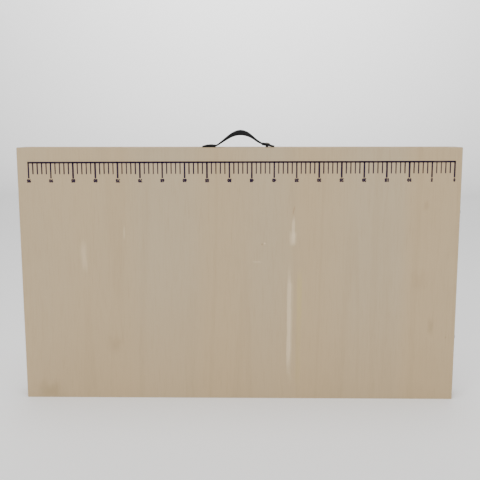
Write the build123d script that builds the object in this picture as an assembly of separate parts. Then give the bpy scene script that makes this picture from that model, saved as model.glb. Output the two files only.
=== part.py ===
from build123d import *
from math import asin, atan2, cos, degrees, radians, sin, tan
import os

# A two-section folding pasting table, folded flat like a suitcase and standing on one long edge.
# +X runs along the case from the hinged end to the latched end, the printed face of the front
# section looks towards -Y, and +Z is up, with the carrying handle on the top long edge.
# The two sections are the same joinery: the rear one is the front one turned half a turn about X.

# ---- Driving dimensions, in millimetres ----
section_length = 991.0
section_width = 581.5
sheet_thickness = 4.0
sheet_corner_radius = 1.5
rail_depth = 30.0
rail_thickness = 18.0
fold_gap = 1.6
joint_gap = 0.4

leg_depth = 22.0
leg_width = 26.0
leg_length = 716.0
pivot_depth = 15.5
leg_stop_clearance = 0.3
stay_gap = 7.0
bearer_thickness = 32.0
bearer_length = 297.0
batten_width = 30.0
batten_depth = 14.0
edge_ease = 1.0

crossbar_width = 35.0
crossbar_thickness = 10.0
crossbar_inset = 3.0
crossbar_places = (90.0, 300.0, 448.0)

glide_radius = 9.0
glide_thickness = 4.0
glide_ease = 1.5

pivot_screw_radius = 4.0
pivot_head_radius = 7.5
pivot_head_thickness = 3.0
pivot_grip = 14.0
spacer_radius = 8.0
turning_clearance = 0.15
side_clearance = 0.2

stay_width = 14.0
stay_thickness = 2.0
stay_rivet_place = 250.0
stay_angle = 48.0
rivet_radius = 2.5
rivet_head_radius = 5.0
rivet_head_thickness = 1.5
rivet_collar = 0.5
stay_play = 0.1
stud_radius = 3.0
stud_grip = 12.0
stud_end_clearance = 0.4
hook_clearance = 0.5

hinge_height = 60.0
hinge_leaf_width = 26.0
hinge_leaf_thickness = 1.2
hinge_leaf_sink = 0.15
hinge_barrel_radius = 3.0
hinge_pin_radius = 1.5
hinge_places = (0.17, 0.5, 0.83)
knuckle_count = 5
knuckle_gap = 0.3
barrel_clearance = 0.4

handle_offset = 1.0
handle_span = 161.0
handle_width = 22.0
strap_thickness = 2.6
grip_thickness = 10.3
handle_rise = 37.5
crown_offset = 4.6
cap_length = 28.0
cap_width = 25.0
cap_thickness = 6.0
cap_nose = 4.0
cap_floor = 1.1
cap_end_wall = 1.6
cap_mouth = 3.0
right_cap_tilt = 10.0
handle_screw_inset = 18.0
handle_screw_radius = 2.0
handle_screw_head = 4.4
handle_screw_head_thickness = 1.3
washer_radius = 6.5
washer_thickness = 1.0
washer_bevel = 0.6
washer_sink = 1.3
washer_clearance = 0.2

latch_places = (0.25, 0.75)
latch_thickness = 2.0
latch_width = 13.0
latch_tail = 11.0
latch_eye_radius = 2.2
latch_lift = 1.0
latch_head_radius = 5.0
latch_head_thickness = 2.4
latch_clearance = 0.35

wood_screw_radius = 1.75
wood_screw_head = 3.6
hinge_screw_radius = 1.5
hinge_screw_head = 3.1

# ---- Derived places, in the section's own frame ----
# x from the hinged end, y from the outer face of the sheet towards the open side, z across the width.
section_depth = sheet_thickness + rail_depth
case_depth = 2 * section_depth + fold_gap
inner_length = section_length - 2 * rail_thickness
pivot_x = section_length - rail_thickness - leg_depth / 2 - leg_stop_clearance
pivot_y = section_depth - pivot_depth
bearer_face = section_width - rail_thickness - bearer_thickness
lower_leg_face = rail_thickness + stay_gap
upper_leg_face = bearer_face - stay_gap
stay_reach = stay_rivet_place / tan(radians(stay_angle))
stay_length = stay_rivet_place / sin(radians(stay_angle))
rivet_x = pivot_x - stay_rivet_place
stud_x = pivot_x - stay_reach
# The stay turns (90 + stay_angle) on the leg while the leg turns 90, so this is its own turn per turn
# of the leg, and the mouth of its hook faces the way the pin comes in as the leg reaches upright.
stay_turn = stay_angle / 90.0
mouth_angle = degrees(atan2(-stay_turn * stay_reach, stay_rivet_place * (1 + stay_turn))) - stay_angle
# Each leg has its outer face towards its own rail or bearer: (outer face, way out).
leg_sides = {"lower": (lower_leg_face, -1), "upper": (upper_leg_face, 1)}

os.makedirs("parts", exist_ok=True)


def block(x0, x1, y0, y1, z0, z1):
    """A box between two corners."""
    return Pos((x0 + x1) / 2, (y0 + y1) / 2, (z0 + z1) / 2) * Box(x1 - x0, y1 - y0, z1 - z0)


def eased(solid, axis, amount=edge_ease):
    """The solid with its edges along one axis taken off."""
    return chamfer(solid.edges().filter_by(axis), amount)


def rod(x, y, z_from, z_to, radius):
    """A round bar across the section, along Z."""
    return Pos(x, y, (z_from + z_to) / 2) * Cylinder(radius, abs(z_to - z_from))


def recess(radius, depth):
    """The cross for a screwdriver, cut into a head whose top is at z = 0."""
    arm = Pos(0, 0, -depth / 2) * Box(radius * 1.25, radius * 0.26, depth)
    return arm + Rot(0, 0, 90) * arm


def countersunk(head, shank, length):
    """A countersunk screw with its head flush at z = 0 and its shank down -Z."""
    taper = head - shank
    body = Pos(0, 0, -taper / 2) * Cone(shank, head, taper)
    body += Pos(0, 0, -(taper + length) / 2) * Cylinder(shank, length - taper)
    return body


def round_head(head, thickness, shank, length, lift=0.0):
    """A raised-head screw: the head stands on z = lift, and the shank runs down to -length."""
    cap = fillet(Cylinder(head, thickness).edges().sort_by(Axis.Z)[-1:], thickness * 0.45)
    body = Pos(0, 0, lift + thickness / 2) * cap
    return body + Pos(0, 0, (lift - length) / 2) * Cylinder(shank, length + lift)


def at(point, direction, solid):
    """A piece modelled about +Z, set at a point with its top facing a direction."""
    return Plane(origin=point, z_dir=direction) * solid


def driven(head, point, direction, screw, top=0.0):
    """A placed screw with its driver cross, and the same screw whole for cutting its hole."""
    crossed = screw - Pos(0, 0, top) * recess(head, head * 0.35)
    return at(point, direction, crossed), at(point, direction, screw)


def flat_bar(length, width, thickness):
    """A flat steel bar with round ends, from its first eye at the origin along -X."""
    bar = Pos(-length / 2, 0, 0) * Box(length, width, thickness)
    return bar + Cylinder(width / 2, thickness) + Pos(-length, 0, 0) * Cylinder(width / 2, thickness)


# ---- One section, in its own frame ----
def sheet():
    board = block(0, section_length, 0, sheet_thickness, 0, section_width)
    return fillet(board.edges().filter_by(Axis.Y), sheet_corner_radius)


def long_rail(z0):
    rail = block(0, section_length, sheet_thickness, section_depth, z0, z0 + rail_thickness)
    return eased(rail, Axis.X, edge_ease / 2)


def end_rail(x0):
    return block(
        x0,
        x0 + rail_thickness,
        sheet_thickness,
        section_depth,
        rail_thickness,
        section_width - rail_thickness,
    )


def centre_batten():
    middle = section_width / 2
    batten = block(
        rail_thickness,
        rail_thickness + inner_length,
        sheet_thickness,
        sheet_thickness + batten_depth,
        middle - batten_width / 2,
        middle + batten_width / 2,
    )
    return eased(batten, Axis.X)


def bearer():
    """The thick block inside one long rail that sets this leg frame over by more than a leg's width."""
    end = section_length - rail_thickness
    return block(
        end - bearer_length,
        end,
        sheet_thickness,
        section_depth,
        bearer_face,
        bearer_face + bearer_thickness,
    )


def crossbar_x(place):
    return pivot_x - place


def crossbar(place):
    top = section_depth - crossbar_inset
    bar = block(
        crossbar_x(place) - crossbar_width / 2,
        crossbar_x(place) + crossbar_width / 2,
        top - crossbar_thickness,
        top,
        lower_leg_face,
        upper_leg_face,
    )
    return eased(bar, Axis.Z)


def leg(face, way, bars):
    """A leg with its round head at the pivot; bars are the crossbars let into it."""
    inner = face - way * leg_width
    middle = (face + inner) / 2
    shank = block(
        pivot_x - leg_length,
        pivot_x,
        pivot_y - leg_depth / 2,
        pivot_y + leg_depth / 2,
        min(face, inner),
        max(face, inner),
    )
    wood = eased(shank, Axis.X) + Pos(pivot_x, pivot_y, middle) * Cylinder(leg_depth / 2, leg_width)
    wood -= rod(pivot_x, pivot_y, face + way, inner - way, pivot_screw_radius + turning_clearance)
    for bar in bars:
        wood -= bar
    return wood


def pivot_screw(face, way):
    """A shoulder screw from inside the frame, through the leg and its spacer, into rail or bearer."""
    head_face = face - way * (leg_width + side_clearance)
    reach = leg_width + side_clearance + stay_gap + pivot_grip
    screw = round_head(pivot_head_radius, pivot_head_thickness, pivot_screw_radius, reach)
    point = (pivot_x, pivot_y, head_face)
    return driven(pivot_head_radius * 0.7, point, (0, 0, -way), screw, pivot_head_thickness)


def pivot_spacer(face, way):
    wall = face + way * stay_gap
    ring = rod(pivot_x, pivot_y, wall, face + way * side_clearance, spacer_radius)
    return ring - rod(pivot_x, pivot_y, wall + way, face - way, pivot_screw_radius)


def stay_plane(face, way):
    """Where the middle of the stay's thickness lies, outside the leg's outer face."""
    return face + way * (rivet_collar + stay_play + stay_thickness / 2)


def stay(face, way):
    bar = flat_bar(stay_length, stay_width, stay_thickness)
    bar -= Cylinder(rivet_radius + turning_clearance, 2 * stay_thickness)
    slot = stud_radius + hook_clearance
    mouth = Cylinder(slot, 2 * stay_thickness)
    mouth += Rot(0, 0, mouth_angle) * Pos(stay_width / 2, 0, 0) * Box(
        stay_width, 2 * slot, 2 * stay_thickness
    )
    bar -= Pos(-stay_length, 0, 0) * mouth
    return Pos(rivet_x, pivot_y, stay_plane(face, way)) * bar


def stay_rivet(face, way):
    """A rivet through the leg, with a collar under the stay and a head outside it."""
    inner = face - way * leg_width
    collar = face + way * rivet_collar
    head = collar + way * (stay_thickness + 2 * stay_play)
    body = rod(rivet_x, pivot_y, inner, head, rivet_radius)
    body += rod(rivet_x, pivot_y, face, collar, rivet_head_radius)
    body += rod(rivet_x, pivot_y, head, head + way * rivet_head_thickness, rivet_head_radius)
    body += rod(rivet_x, pivot_y, inner, inner - way * rivet_head_thickness, rivet_head_radius)
    return body


def stay_stud(face, way):
    """The plain pin in rail or bearer that the stay hooks on."""
    wall = face + way * stay_gap
    return rod(stud_x, pivot_y, wall + way * stud_grip, face + way * stud_end_clearance, stud_radius)


def foot_glide(face, way):
    disc = Cylinder(glide_radius, glide_thickness)
    disc = fillet(disc.edges().sort_by(Axis.Z)[:1], glide_ease)
    foot = (pivot_x - leg_length - glide_thickness / 2, pivot_y, face - way * leg_width / 2)
    return at(foot, (1, 0, 0), disc)


def crossbar_screws():
    """Two countersunk screws at each end of each crossbar, into the leg."""
    top = section_depth - crossbar_inset
    found = []
    for place in crossbar_places:
        for face, way in leg_sides.values():
            for step in (-1, 1):
                point = (
                    crossbar_x(place) + step * crossbar_width / 4,
                    top,
                    face - way * (leg_width / 2 + step * leg_width / 6),
                )
                screw = countersunk(wood_screw_head, wood_screw_radius, leg_depth)
                found.append(driven(wood_screw_head, point, (0, 1, 0), screw))
    return found


def corner_screws():
    """Two countersunk screws through the long rails into each end of each end rail."""
    found = []
    for x in (rail_thickness / 2, section_length - rail_thickness / 2):
        for share in (0.3, 0.75):
            y = sheet_thickness + rail_depth * share
            for z, way in ((0, -1), (section_width, 1)):
                screw = countersunk(wood_screw_head, wood_screw_radius, 2.2 * rail_thickness)
                found.append(driven(wood_screw_head, (x, y, z), (0, 0, way), screw))
    return found


# ---- Hinges: on the axis just outside the hinged end, midway between the two sections ----
axis_x = -joint_gap / 2
axis_y = section_depth + fold_gap / 2


def knuckles(middle, first):
    """The spans in z of every second knuckle of a hinge, starting with one of them."""
    pitch = hinge_height / knuckle_count
    low = middle - hinge_height / 2
    return [
        (low + i * pitch + knuckle_gap / 2, low + (i + 1) * pitch - knuckle_gap / 2)
        for i in range(first, knuckle_count, 2)
    ]


def hinge_leaf(middle, first, bore):
    plate_front = hinge_leaf_sink
    plate_back = plate_front + hinge_leaf_thickness
    root = axis_y - hinge_barrel_radius - barrel_clearance
    half = hinge_height / 2
    leaf = block(plate_front, plate_back, axis_y - hinge_leaf_width, root, middle - half, middle + half)
    leaf = fillet(leaf.edges().filter_by(Axis.X).group_by(Axis.Y)[0], 2.5)
    for z0, z1 in knuckles(middle, first):
        leaf += block(plate_front, plate_back, root, axis_y, z0, z1)
        leaf += rod(axis_x, axis_y, z0, z1, hinge_barrel_radius)
        leaf -= rod(axis_x, axis_y, z0 - 1, z1 + 1, bore)
    return leaf


def hinge_recess(middle):
    """What a hinge takes out of the hinge rail: the leaf's pocket and room for the barrel."""
    half = hinge_height / 2
    depth = hinge_leaf_sink + hinge_leaf_thickness
    pocket = block(-1, depth, axis_y - hinge_leaf_width, axis_y, middle - half, middle + half)
    pocket = fillet(pocket.edges().filter_by(Axis.X).group_by(Axis.Y)[0], 2.5)
    room = hinge_barrel_radius + barrel_clearance
    return pocket + rod(axis_x, axis_y, middle - half - knuckle_gap, middle + half + knuckle_gap, room)


def hinge_screws(middle):
    found = []
    for across, along in ((0.72, -0.34), (0.42, 0.0), (0.72, 0.34)):
        point = (hinge_leaf_sink, axis_y - across * hinge_leaf_width, middle + along * hinge_height)
        screw = countersunk(hinge_screw_head, hinge_screw_radius, 0.8 * rail_thickness)
        found.append(driven(hinge_screw_head, point, (-1, 0, 0), screw))
    return found


# ---- Carrying handle, about the top of the front rail: x along the case, z up from the rail ----
def strap_curve(points, start, end, height, tangents):
    """A smooth edge of the strap; points are (distance from the crown, share of its height)."""
    inner = [(crown_offset + x, share * height) for x, share in points]
    return Spline([start, *inner, end], tangents=tangents)


def strap_outline():
    """The strap from the side: flat inside its caps, thin arms, and a thick grip at the crown."""
    left_end = -handle_span / 2 + cap_end_wall
    right_end = handle_span / 2 - cap_end_wall
    left_tab = -handle_span / 2 + cap_length - cap_mouth
    right_tab = handle_span / 2 - cap_length + cap_mouth
    slope = tan(radians(right_cap_tilt))
    low = cap_floor
    high = cap_floor + strap_thickness
    far_lift = slope * cap_end_wall
    near_lift = slope * (cap_length - cap_mouth)
    over = strap_curve(
        ((-45, 0.307), (-30, 0.642), (-16, 0.893), (0, 1), (16, 0.88), (30, 0.588), (45, 0.293)),
        (left_tab, high),
        (right_tab, high + near_lift),
        handle_rise,
        [(1, 0.1), (1, -0.16)],
    )
    under = strap_curve(
        ((45, 0.29), (30, 0.62), (16, 0.89), (0, 1), (-16, 0.9), (-30, 0.645), (-45, 0.316)),
        (right_tab, low + near_lift),
        (left_tab, low),
        handle_rise - grip_thickness,
        [(-1, 0.16), (-1, -0.1)],
    )
    right_tip = Polyline(
        (right_tab, high + near_lift),
        (right_end, high + far_lift),
        (right_end, low + far_lift),
        (right_tab, low + near_lift),
    )
    left_tip = Polyline((left_tab, low), (left_end, low), (left_end, high), (left_tab, high))
    return make_face([over, right_tip, under, left_tip])


def handle_strap():
    return extrude(Plane.XZ * strap_outline(), handle_width / 2, both=True)


def end_cap(tilt):
    """A moulded cap over one end of the strap; its outer end at the origin, its body towards +X."""
    side = Polyline(
        (0, 0),
        (cap_length, 0),
        (cap_length, cap_thickness),
        (cap_length * 0.4, cap_thickness),
        (0, cap_nose),
        close=True,
    )
    body = extrude(Plane.XZ * make_face(side), cap_width / 2, both=True)
    return Rot(0, -tilt, 0) * fillet(body.edges().filter_by(Axis.Z), 3.0)


def build_handle():
    """The handle's pieces in the case's frame, with the holes for its screws made."""
    rail_middle = fold_gap / 2 + rail_depth / 2
    place = Pos(handle_offset, -rail_middle, section_width)
    strap = handle_strap()
    caps = {"left": Pos(-handle_span / 2, 0, 0) * end_cap(0)}
    caps["right"] = Pos(handle_span / 2, 0, 0) * Rot(0, 0, 180) * end_cap(right_cap_tilt)
    screws = []
    washers = []
    disc = Pos(0, 0, washer_thickness / 2) * Cylinder(washer_radius, washer_thickness)
    disc = chamfer(disc.edges().sort_by(Axis.Z)[-1:], washer_bevel)
    seat = cap_thickness - washer_sink
    pocket = Pos(0, 0, washer_sink) * Cylinder(washer_radius + washer_clearance, 2 * washer_sink)
    for name, side, tilt in (("left", -1, 0), ("right", 1, right_cap_tilt)):
        lean = radians(tilt)
        reach = handle_span / 2 - handle_screw_inset * cos(lean) + seat * sin(lean)
        rise = seat * cos(lean) + handle_screw_inset * sin(lean)
        screw = round_head(
            handle_screw_head,
            handle_screw_head_thickness,
            handle_screw_radius,
            seat + 0.7 * rail_thickness,
            washer_thickness,
        )
        direction = (side * sin(lean), 0, cos(lean))
        point = (side * reach, 0, rise)
        top = washer_thickness + handle_screw_head_thickness
        crossed, whole = driven(0.8 * handle_screw_head, point, direction, screw, top)
        screws.append((place * crossed, place * whole))
        washers.append(place * (at(point, direction, disc) - whole))
        caps[name] = caps[name] - strap - whole - at(point, direction, pocket)
        strap -= whole
    return place * strap, {name: place * cap for name, cap in caps.items()}, screws, washers


# ---- Latches on the far end: a hook on the front section, a keeper screw on the rear one ----
latch_x = section_length / 2
latch_half = fold_gap / 2 + rail_depth / 2
latch_zs = [section_width * share for share in latch_places]
keeper_neck = latch_eye_radius - 0.2


def latch_hook(z):
    """A flat hook hanging from its screw; turned over the top, it drops on the keeper."""
    reach = 2 * latch_half
    bar = flat_bar(reach + latch_tail, latch_width, latch_thickness)
    bar -= Cylinder(latch_eye_radius + turning_clearance, 2 * latch_thickness)
    slot = keeper_neck + latch_clearance
    notch = Cylinder(slot, 2 * latch_thickness)
    # The mouth leans towards the eye, because the hook comes down on the keeper in an arc.
    lean = degrees(asin(latch_width / 4 / reach))
    notch += Rot(0, 0, -lean) * Pos(0, latch_width / 2, 0) * Box(2 * slot, latch_width, 2 * latch_thickness)
    bar -= Pos(-reach, 0, 0) * notch
    middle = (latch_x + latch_lift + latch_thickness / 2, -latch_half, z)
    return Plane(origin=middle, x_dir=(0, 0, 1), z_dir=(1, 0, 0)) * bar


def latch_screw(z, y, neck):
    lift = latch_lift + latch_thickness + side_clearance
    screw = round_head(latch_head_radius, latch_head_thickness, neck, 0.8 * rail_thickness, lift)
    return driven(3.5, (latch_x, y, z), (1, 0, 0), screw, lift + latch_head_thickness)


# ---- Putting the case together ----
def front(shape):
    return Pos(-section_length / 2, -case_depth / 2, 0) * shape


def rear(shape):
    turn = Pos(0, 0, section_width / 2) * Rot(180, 0, 0) * Pos(0, 0, -section_width / 2)
    return turn * front(shape)


def section_pieces():
    """Every piece of one section in the section's own frame, with its holes made."""
    bars = {n: crossbar(p) for n, p in zip(("top", "middle", "low"), crossbar_places)}
    bar_screws = crossbar_screws()
    corners = corner_screws()
    hinges = [section_width * share for share in hinge_places]
    leaf_screws = [pair for z in hinges for pair in hinge_screws(z)]
    pivots = [pivot_screw(*side) for side in leg_sides.values()]
    studs = [stay_stud(*side) for side in leg_sides.values()]
    rivets = [stay_rivet(*side) for side in leg_sides.values()]

    into_legs = [whole for _, whole in bar_screws] + rivets
    pieces = {"table_top": sheet()}
    rails = {
        "lower_rail": long_rail(0),
        "upper_rail": long_rail(section_width - rail_thickness),
        "hinge_rail": end_rail(0),
        "end_rail": end_rail(section_length - rail_thickness),
        "bearer": bearer(),
    }
    cutters = [whole for _, whole in corners + leaf_screws + pivots] + studs
    cutters += [hinge_recess(z) for z in hinges]
    for name, rail in rails.items():
        box = rail.bounding_box()
        for cutter in cutters:
            if box.overlaps(cutter.bounding_box()):
                rail -= cutter
        pieces[name] = rail
    pieces["centre_batten"] = centre_batten()
    for name, side in leg_sides.items():
        wood = leg(*side, list(bars.values()))
        for cutter in into_legs:
            if wood.bounding_box().overlaps(cutter.bounding_box()):
                wood -= cutter
        pieces[f"{name}_leg"] = wood
        pieces[f"{name}_stay"] = stay(*side)
    for name, bar in bars.items():
        for _, whole in bar_screws:
            if bar.bounding_box().overlaps(whole.bounding_box()):
                bar -= whole
        pieces[f"{name}_crossbar"] = bar
    pieces["corner_screws"] = [crossed for crossed, _ in corners]
    pieces["crossbar_screws"] = [crossed for crossed, _ in bar_screws]
    pieces["hinge_screws"] = [crossed for crossed, _ in leaf_screws]
    pieces["pivot_screws"] = [crossed for crossed, _ in pivots]
    pieces["pivot_spacers"] = [pivot_spacer(*side) for side in leg_sides.values()]
    pieces["stay_pins"] = studs
    pieces["stay_rivets"] = rivets
    pieces["foot_glides"] = [foot_glide(*side) for side in leg_sides.values()]
    return pieces, [whole for _, whole in leaf_screws]


def solids_of(piece):
    """The piece's separate solids, whether it is one piece or a group of like ones."""
    group = piece if isinstance(piece, list) else [piece]
    return [solid for item in group for solid in item.solids()]


def turned_name(name):
    """A piece's name in the rear section, where the half turn has put its lower side at the top."""
    opposite = {"lower": "upper", "upper": "lower"}
    first, *rest = name.split("_")
    return "_".join([opposite.get(first, first), *rest])


def build():
    nodes = {}
    pieces, leaf_cutters = section_pieces()
    for name, piece in pieces.items():
        group = piece if isinstance(piece, list) else [piece]
        nodes[f"front_{name}"] = [front(item) for item in group]
        nodes[f"rear_{turned_name(name)}"] = [rear(item) for item in group]

    hinge_names = ("lower", "middle", "upper")
    pins = []
    for name, share in zip(hinge_names, hinge_places):
        z = section_width * share
        outer = hinge_leaf(z, 0, hinge_pin_radius)
        turned = hinge_leaf(section_width - z, 1, hinge_pin_radius + turning_clearance)
        for cutter in leaf_cutters:
            outer -= cutter
            turned -= cutter
        nodes[f"front_{name}_hinge_leaf"] = [front(outer)]
        nodes[f"rear_{name}_hinge_leaf"] = [rear(turned)]
        pins.append(front(rod(axis_x, axis_y, z - hinge_height / 2, z + hinge_height / 2, hinge_pin_radius)))
    nodes["hinge_pins"] = pins

    strap, caps, screws, washers = build_handle()
    nodes["handle_strap"] = [strap]
    for name, cap in caps.items():
        nodes[f"handle_{name}_cap"] = [cap]
    nodes["handle_screws"] = [crossed for crossed, _ in screws]
    nodes["handle_washers"] = washers
    rail = nodes["front_upper_rail"][0]
    for _, whole in screws:
        rail -= whole
    nodes["front_upper_rail"] = [rail]

    hook_screws = [latch_screw(z, -latch_half, latch_eye_radius) for z in latch_zs]
    keepers = [latch_screw(z, latch_half, keeper_neck) for z in latch_zs]
    for name, group in (("front_end_rail", hook_screws), ("rear_end_rail", keepers)):
        rail = nodes[name][0]
        for _, whole in group:
            rail -= whole
        nodes[name] = [rail]
    for name, z in zip(("lower", "upper"), latch_zs):
        nodes[f"{name}_latch_hook"] = [latch_hook(z)]
    nodes["latch_hook_screws"] = [crossed for crossed, _ in hook_screws]
    nodes["latch_keeper_screws"] = [crossed for crossed, _ in keepers]
    return nodes


for node, group in build().items():
    solids = [solid for item in group for solid in solids_of(item)]
    whole = solids[0] if len(solids) == 1 else Compound(children=solids)
    whole.label = node
    export_step(whole, f"parts/{node}.step")
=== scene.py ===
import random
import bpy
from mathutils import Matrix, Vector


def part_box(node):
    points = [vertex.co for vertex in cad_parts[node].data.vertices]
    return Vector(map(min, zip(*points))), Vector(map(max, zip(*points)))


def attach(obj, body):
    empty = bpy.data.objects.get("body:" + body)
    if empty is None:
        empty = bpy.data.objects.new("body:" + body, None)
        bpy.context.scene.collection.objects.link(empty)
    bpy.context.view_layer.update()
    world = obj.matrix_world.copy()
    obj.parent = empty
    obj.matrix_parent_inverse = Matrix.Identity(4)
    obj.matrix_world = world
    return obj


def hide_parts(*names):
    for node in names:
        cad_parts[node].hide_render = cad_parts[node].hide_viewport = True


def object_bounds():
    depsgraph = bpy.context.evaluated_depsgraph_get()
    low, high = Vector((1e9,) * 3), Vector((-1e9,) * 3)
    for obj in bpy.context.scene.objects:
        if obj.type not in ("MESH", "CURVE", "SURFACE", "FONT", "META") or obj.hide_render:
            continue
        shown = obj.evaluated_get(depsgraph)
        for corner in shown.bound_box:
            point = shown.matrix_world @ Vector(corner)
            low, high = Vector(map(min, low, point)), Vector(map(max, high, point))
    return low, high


bl_info = {
    "name": "Folding pasting table",
    "version": (1, 0, 0),
    "blender": (4, 5, 0),
    "location": "View3D > Sidebar > Pasting table",
    "description": "Finishes a two-section folding pasting table in bare plywood and softwood",
    "category": "Object",
}

from math import pi, radians, tan

import bpy
from mathutils import Euler, Matrix, Vector

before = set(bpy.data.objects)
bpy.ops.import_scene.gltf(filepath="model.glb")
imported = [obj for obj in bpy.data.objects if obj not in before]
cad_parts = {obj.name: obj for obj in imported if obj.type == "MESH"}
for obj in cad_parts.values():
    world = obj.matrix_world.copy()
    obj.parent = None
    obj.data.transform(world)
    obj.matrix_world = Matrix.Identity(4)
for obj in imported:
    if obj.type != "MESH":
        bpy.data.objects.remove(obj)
CASE_LOW, CASE_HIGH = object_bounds()

MM = 0.001
TOUCH = 1e-5  # two places nearer to each other than this are taken as one
SECTIONS = ("front", "rear")
LEVELS = ("lower", "middle", "upper")


def paint(red, green, blue):
    """The linear colour of a paint chip given as 0 to 255 values."""
    chips = (red / 255, green / 255, blue / 255)
    return tuple(c / 12.92 if c <= 0.04045 else ((c + 0.055) / 1.055) ** 2.4 for c in chips)


def shaded(colour, share):
    """A colour made darker, or paler, by a share."""
    return tuple(share * c for c in colour)


# ---- Sizes and colours a user may change ----
def angle(name, description, default):
    return bpy.props.FloatProperty(
        name=name, description=description, default=radians(default), subtype="ANGLE"
    )


def figure(name, description, default, unit="NONE", precision=2):
    return bpy.props.FloatProperty(
        name=name, description=description, default=default, unit=unit, precision=precision
    )


def length(name, description, default):
    return figure(name, description, default, "LENGTH", 5)


def count(name, description, default):
    return bpy.props.IntProperty(name=name, description=description, default=default)


def colour(name, description, default):
    return bpy.props.FloatVectorProperty(
        name=name, description=description, default=default, subtype="COLOR", min=0.0, max=1.0
    )


class TablePrintSizes(bpy.types.PropertyGroup):
    marks: count("Marks", "Marks from 0 to the last centimetre", 96)
    numbered: count("Numbered", "Every how many marks a number stands", 5)
    pitch: length("Pitch", "From one mark to the next", 10 * MM)
    zero_inset: length("Zero inset", "From the end of the board to the mark for 0", 16.0 * MM)
    line_drop: length("Line drop", "From the long edge down to the middle of the line", 32.4 * MM)
    line_width: length("Line width", "Width of the line that joins the marks", 4.0 * MM)
    short_end: length("Short mark end", "From the long edge to the end of a short mark", 58.5 * MM)
    short_width: length("Short mark width", "Width of a short mark", 2.7 * MM)
    long_end: length("Long mark end", "From the long edge to the end of a numbered mark", 68.0 * MM)
    long_width: length("Long mark width", "Width of a numbered mark", 3.8 * MM)
    number_drop: length("Number drop", "From the long edge to the near side of the numbers", 68.8 * MM)
    number_height: length("Number height", "Height of the numbers", 8.4 * MM)
    digit_width: length("Digit width", "Width that one digit takes up", 4.8 * MM)
    spread: figure("Spread", "How far a number's ink has spread, against its size", 0.095)
    ink: length("Ink", "Thickness of the ink on the board", 0.12 * MM)
    skew: angle("Skew", "How far the print stands out of square with the board", 0.135)


class TableHandleSizes(bpy.types.PropertyGroup):
    offset: length("Offset", "Middle of the handle from the middle of the case", 1.0 * MM)
    span: length("Span", "From end to end over both caps", 161.0 * MM)
    strap_width: length("Strap width", "Width of the strap across the rail", 22.0 * MM)
    rounding: length("Rounding", "How far the strap's long edges are rounded in", 2.6 * MM)
    cap_length: length("Cap length", "Length of an end cap", 28.0 * MM)
    cap_width: length("Cap width", "Width of an end cap", 25.0 * MM)
    cap_height: length("Cap height", "Height of an end cap", 6.2 * MM)
    cap_nose: length("Cap nose", "Height of an end cap at its outer end", 3.3 * MM)
    cap_corner: length("Cap corner", "Radius of an end cap's corners", 4.0 * MM)
    cap_shift: length("Cap shift", "How far both caps stand to the left of the span's ends", 2.3 * MM)
    boss_radius: length("Boss radius", "Radius of the boss about a cap's screw", 2.8 * MM)
    screw_inset: length("Screw inset", "From the end of the strap's span to the screw", 18.0 * MM)
    right_tilt: angle("Right cap tilt", "How far the strap lifts the right cap", 10.0)


class TableColours(bpy.types.PropertyGroup):
    ply_pale: colour("Plywood", "Face veneer", paint(186, 165, 132))
    ply_cool: colour("Plywood, cool bands", "Face veneer in its greyer bands", paint(178, 161, 132))
    ply_warm: colour("Plywood, warm bands", "Face veneer in its warmer bands", paint(182, 159, 123))
    ply_stain: colour("Plywood stain", "Brownish stains in the veneer", paint(155, 134, 99))
    ply_honey: colour("Plywood, honey bands", "Yellower bands beside the streak", paint(186, 166, 112))
    ply_streak: colour("Plywood streak", "Pale streak in the veneer", paint(232, 212, 178))
    ply_core: colour("Plywood core", "Middle ply and glue lines at the edges", paint(145, 112, 74))
    rail_pale: colour("Rails", "Early wood of the rails", paint(190, 166, 124))
    rail_dark: colour("Rails, late wood", "Late wood of the rails", paint(160, 125, 80))
    leg_pale: colour("Legs", "Early wood of the legs", paint(192, 166, 122))
    leg_dark: colour("Legs, late wood", "Late wood of the legs", paint(165, 127, 80))
    ink_dark: colour("Ink", "Full ink of the line and the numbered marks", paint(26, 6, 42))
    ink_thin: colour("Thin ink", "Thinner ink of the short marks", paint(34, 16, 44))
    black: colour("Black moulding", "Strap and caps of the handle", paint(13, 13, 14))
    brass: colour("Brass", "Screws and cup washers of the handle", paint(84, 68, 40))
    zinc: colour("Zinc", "Plated hinges, stays, hooks and screws", paint(196, 198, 200))
    glide: colour("Glides", "Moulded feet and spacers", paint(92, 86, 80))
    floor: colour("Floor", "Studio floor and backdrop", paint(250, 250, 250))


class TableStage(bpy.types.PropertyGroup):
    camera_place: bpy.props.FloatVectorProperty(
        name="Camera",
        description="Where the camera stands",
        default=(0.03009, -1.65236, 0.62425),
        subtype="XYZ",
    )
    turn: angle("Turn", "Camera turned to the left", 0.956)
    tilt: angle("Tilt", "Camera tilted down", 8.798)
    roll: angle("Roll", "Camera rolled", -0.058)
    lens: figure("Lens", "Focal length", 54.299, "CAMERA")
    floor_size: length("Floor", "Side of the floor", 14.0)
    wall_height: length("Wall", "Height of the backdrop", 7.0)
    top_power: figure("Top light", "Power of the soft light overhead", 150.0, "POWER")
    key_power: figure("Key light", "Power of the soft light on the left", 60.0, "POWER")
    fill_power: figure("Fill light", "Power of the soft light on the right", 35.0, "POWER")
    wall_power: figure("Wall light", "Power on the backdrop", 900.0, "POWER")
    sky: figure("Sky", "Strength of the light from all round", 0.5)


# ---- Work in the 3D view ----
def mode(kind):
    bpy.ops.object.mode_set(mode=kind)


def nothing_selected():
    if bpy.context.object and bpy.context.object.mode != "OBJECT":
        mode("OBJECT")
    bpy.ops.object.select_all(action="DESELECT")


def only(piece):
    """Makes one piece the selected and active one."""
    nothing_selected()
    piece.select_set(True)
    bpy.context.view_layer.objects.active = piece


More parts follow.
